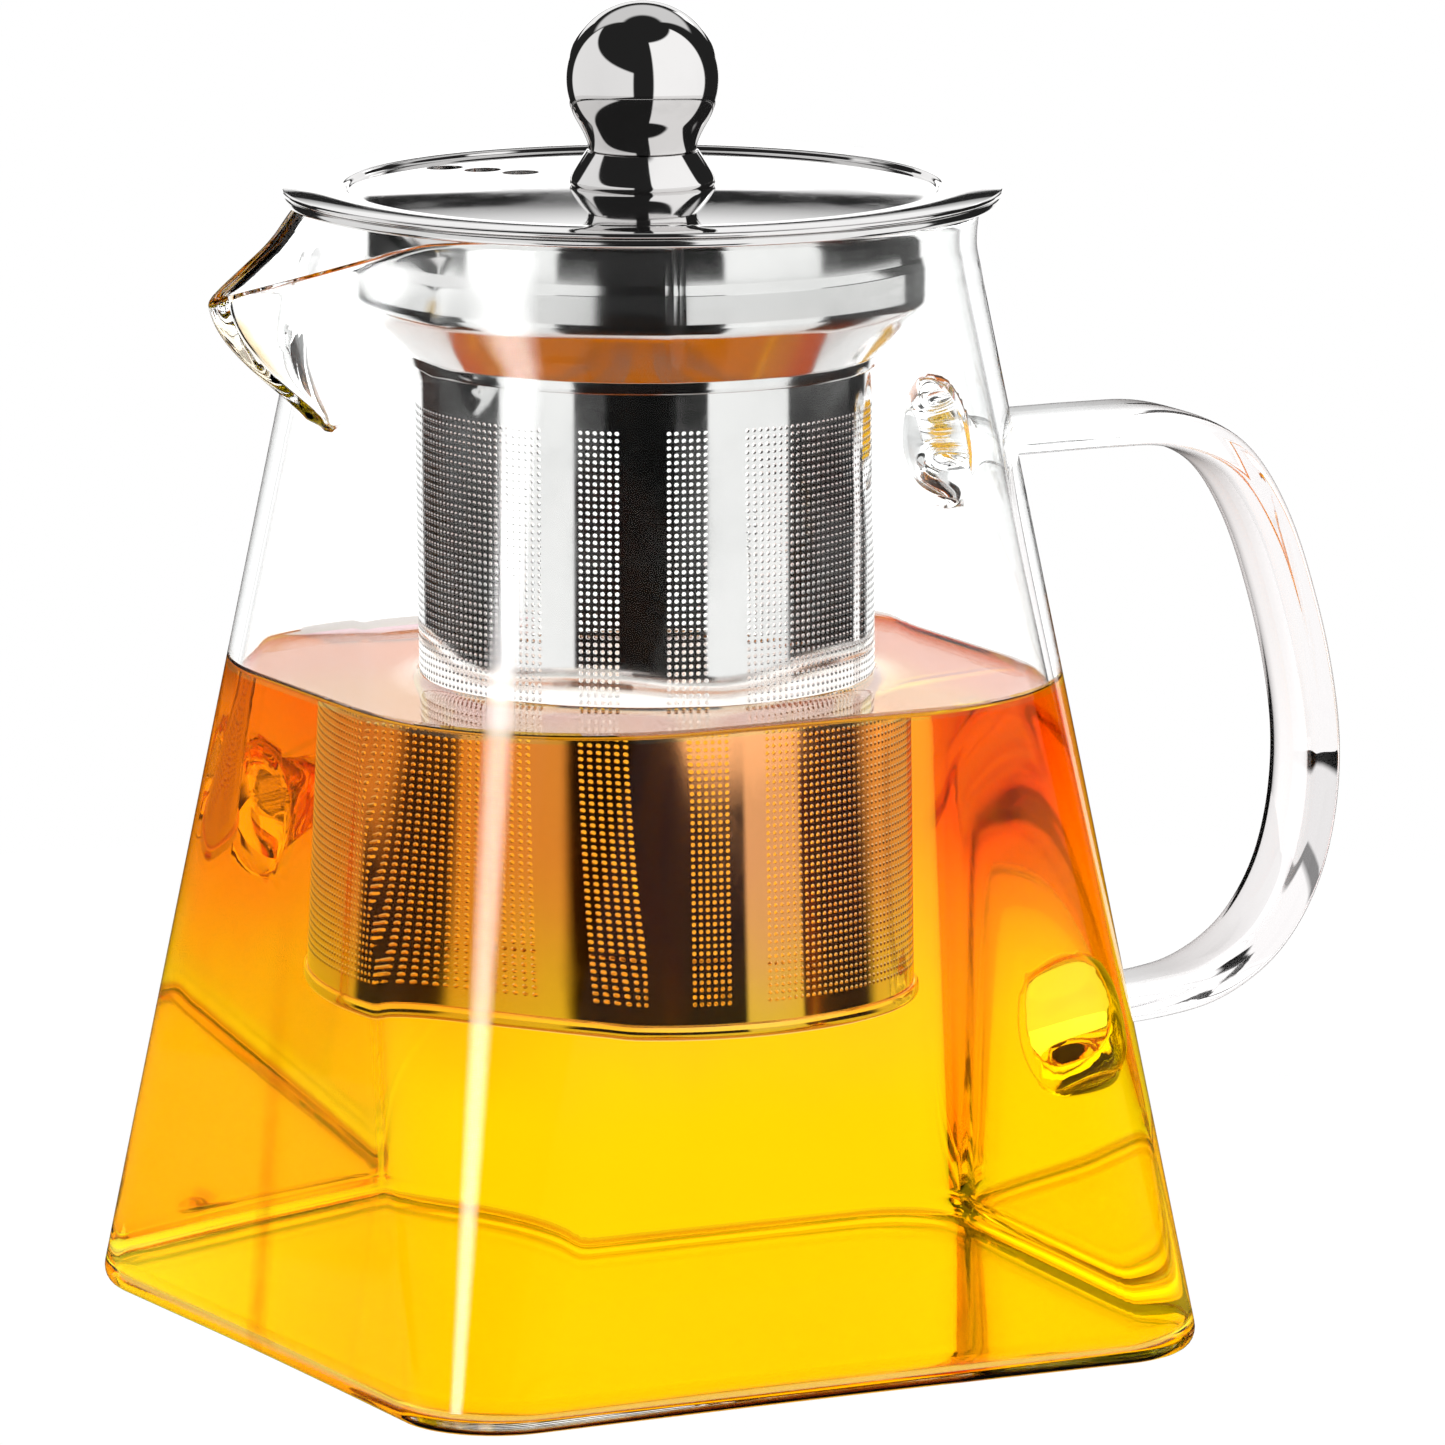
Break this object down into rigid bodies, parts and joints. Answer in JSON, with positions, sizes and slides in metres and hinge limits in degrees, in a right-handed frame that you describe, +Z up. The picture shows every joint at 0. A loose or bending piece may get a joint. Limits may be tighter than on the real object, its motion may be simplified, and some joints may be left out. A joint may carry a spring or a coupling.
{
  "type": "glass teapot",
  "caption": "Clear glass teapot with a square foot, round neck, strap handle and pulled spout, part filled with tea, with a lift-out perforated steel infuser and a vented lid.",
  "frame": {"origin": "centre of the foot, on the table", "axes": "+Z up, +X towards the handle, -X towards the spout"},
  "size_m": [0.1426, 0.0994, 0.1524],
  "materials": {
    "clear_glass": "gloss",
    "tea": "gloss",
    "polished_steel": "polished",
    "screen_steel": "satin",
    "brushed_steel": "satin"
  },
  "bodies": {
    "pot": {"glass_body": "clear_glass", "glass_handle": "clear_glass", "tea": "tea"},
    "infuser": {"infuser_collar": "polished_steel", "infuser_screen": "screen_steel", "infuser_base": "screen_steel"},
    "lid_ring": {"lid_skirt": "brushed_steel"},
    "lid": {"lid_shell": "polished_steel", "knob_foot": "polished_steel", "knob_ball": "polished_steel", "knob_washer": "brushed_steel", "knob_screw": "brushed_steel"}
  },
  "joints": [
    {"name": "infuser_lift", "type": "slide", "parent": "pot", "child": "infuser", "axis": [0, 0, 1], "range_m": [0, 0.11]},
    {"name": "lid_lift", "type": "slide", "parent": "infuser", "child": "lid_ring", "axis": [0, 0, 1], "range_m": [0, 0.05]},
    {"name": "lid_turn", "type": "hinge", "parent": "lid_ring", "child": "lid", "pos_m": [0, 0, 0.13], "axis": [0, 0, 1], "continuous": true}
  ]
}
